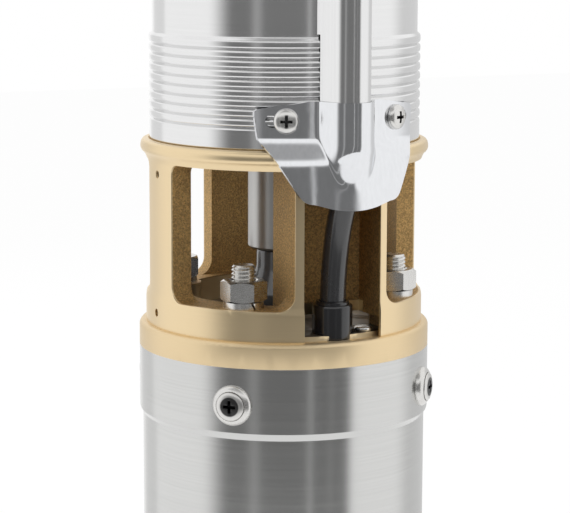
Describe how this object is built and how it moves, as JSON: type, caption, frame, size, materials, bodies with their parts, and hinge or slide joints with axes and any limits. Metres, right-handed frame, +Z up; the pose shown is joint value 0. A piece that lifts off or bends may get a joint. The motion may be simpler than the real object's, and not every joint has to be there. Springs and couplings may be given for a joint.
{
  "type": "borehole submersible pump",
  "caption": "Slim multistage well pump on its motor: polished steel casing, brass suction bracket with windows, cable guard with pressed clamp, motor lead and check valve.",
  "frame": {"origin": "centre of the motor's foot, on the shaft axis", "axes": "+Z up the shaft axis to the outlet; the cable slot, guard and clamp face -Y"},
  "size_m": [0.1124, 0.2447, 0.6802],
  "materials": {
    "shell_steel": "brushed",
    "casing_steel": "polished",
    "guard_steel": "polished",
    "clamp_steel": "polished",
    "shaft_steel": "satin",
    "screw_steel": "satin",
    "bearing_steel": "polished",
    "lamination_steel": "rough",
    "grey_iron": "rough",
    "rotor_aluminium": "cast",
    "copper": "enamelled",
    "brass": "cast and machined",
    "sleeve_bronze": "machined",
    "cap_plastic": "matte",
    "connector_black": "moulded",
    "stage_plastic": "matte",
    "wheel_plastic": "matte",
    "ring_plastic": "satin",
    "valve_plastic": "satin",
    "seal_ceramic": "polished",
    "seal_rubber": "matte",
    "bush_rubber": "matte",
    "black_rubber": "matte",
    "lead_rubber": "satin"
  },
  "bodies": {
    "pump_body": {"motor_shell": "shell_steel", "end_retaining_ring": "bearing_steel", "motor_end_cap": "cap_plastic", "pressure_diaphragm": "black_rubber", "motor_lower_bracket": "grey_iron", "motor_top_bracket": "brass", "oil_filler_screw": "screw_steel", "cable_connector": "connector_black", "upper_bearing_outer_ring": "bearing_steel", "lower_bearing_outer_ring": "bearing_steel", "stator_core": "lamination_steel", "stator_windings": "copper", "shaft_seal_seat": "seal_ceramic", "flange_studs": "screw_steel", "flange_nuts": "screw_steel", "spring_washers": "screw_steel", "shell_screws": "screw_steel", "cup_washers": "screw_steel", "suction_bracket": "brass", "inlet_spider": "stage_plastic", "inlet_bush": "bush_rubber", "pump_casing": "casing_steel", "neck_rings": "ring_plastic", "diffuser_1": "stage_plastic", "diffuser_2": "stage_plastic", "diffuser_3": "stage_plastic", "diffuser_4": "stage_plastic", "diffuser_5": "stage_plastic", "top_spider": "stage_plastic", "top_bush": "bush_rubber", "discharge_head": "brass", "valve_seat_ring": "seal_rubber", "valve_cage": "valve_plastic", "valve_spring": "screw_steel", "cable_guard": "guard_steel", "guard_strap": "clamp_steel", "guard_clamp": "clamp_steel", "guard_screws": "screw_steel", "motor_lead": "lead_rubber", "lead_tail": "lead_rubber", "lead_coil": "lead_rubber"},
    "motor_rotor": {"motor_shaft": "shaft_steel", "rotor_core": "lamination_steel", "rotor_cage": "rotor_aluminium", "upper_bearing_inner_ring": "bearing_steel", "lower_bearing_inner_ring": "bearing_steel", "seal_rotor": "black_rubber", "sand_slinger": "black_rubber"},
    "upper_ball_cage": {"upper_bearing_balls": "bearing_steel"},
    "lower_ball_cage": {"lower_bearing_balls": "bearing_steel"},
    "pump_rotor": {"pump_shaft": "shaft_steel", "shaft_coupling": "shaft_steel", "impeller_1": "wheel_plastic", "impeller_2": "wheel_plastic", "impeller_3": "wheel_plastic", "impeller_4": "wheel_plastic", "impeller_5": "wheel_plastic", "shaft_sleeves": "sleeve_bronze", "shaft_nut": "screw_steel"},
    "valve": {"valve_poppet": "valve_plastic"}
  },
  "joints": [
    {"name": "motor_shaft_spin", "type": "hinge", "parent": "pump_body", "child": "motor_rotor", "pos_m": [0, 0, 0.15], "axis": [0, 0, 1], "continuous": true},
    {"name": "pump_shaft_spin", "type": "hinge", "parent": "pump_body", "child": "pump_rotor", "pos_m": [0, 0, 0.45], "axis": [0, 0, 1], "continuous": true},
    {"name": "upper_ball_cage_spin", "type": "hinge", "parent": "pump_body", "child": "upper_ball_cage", "pos_m": [0, 0, 0.232], "axis": [0, 0, 1], "continuous": true},
    {"name": "lower_ball_cage_spin", "type": "hinge", "parent": "pump_body", "child": "lower_ball_cage", "pos_m": [0, 0, 0.042], "axis": [0, 0, 1], "continuous": true},
    {"name": "valve_slide", "type": "slide", "parent": "pump_body", "child": "valve", "axis": [0, 0, 1], "range_m": [0, 0.008], "stiffness_N_per_m": 80, "springref_m": -0.004, "deforming": ["valve_spring"]}
  ],
  "couplings": [
    {"joint": "pump_shaft_spin", "follows": "motor_shaft_spin", "ratio": 1},
    {"joint": "upper_ball_cage_spin", "follows": "motor_shaft_spin", "ratio": 0.3807},
    {"joint": "lower_ball_cage_spin", "follows": "motor_shaft_spin", "ratio": 0.3807}
  ]
}
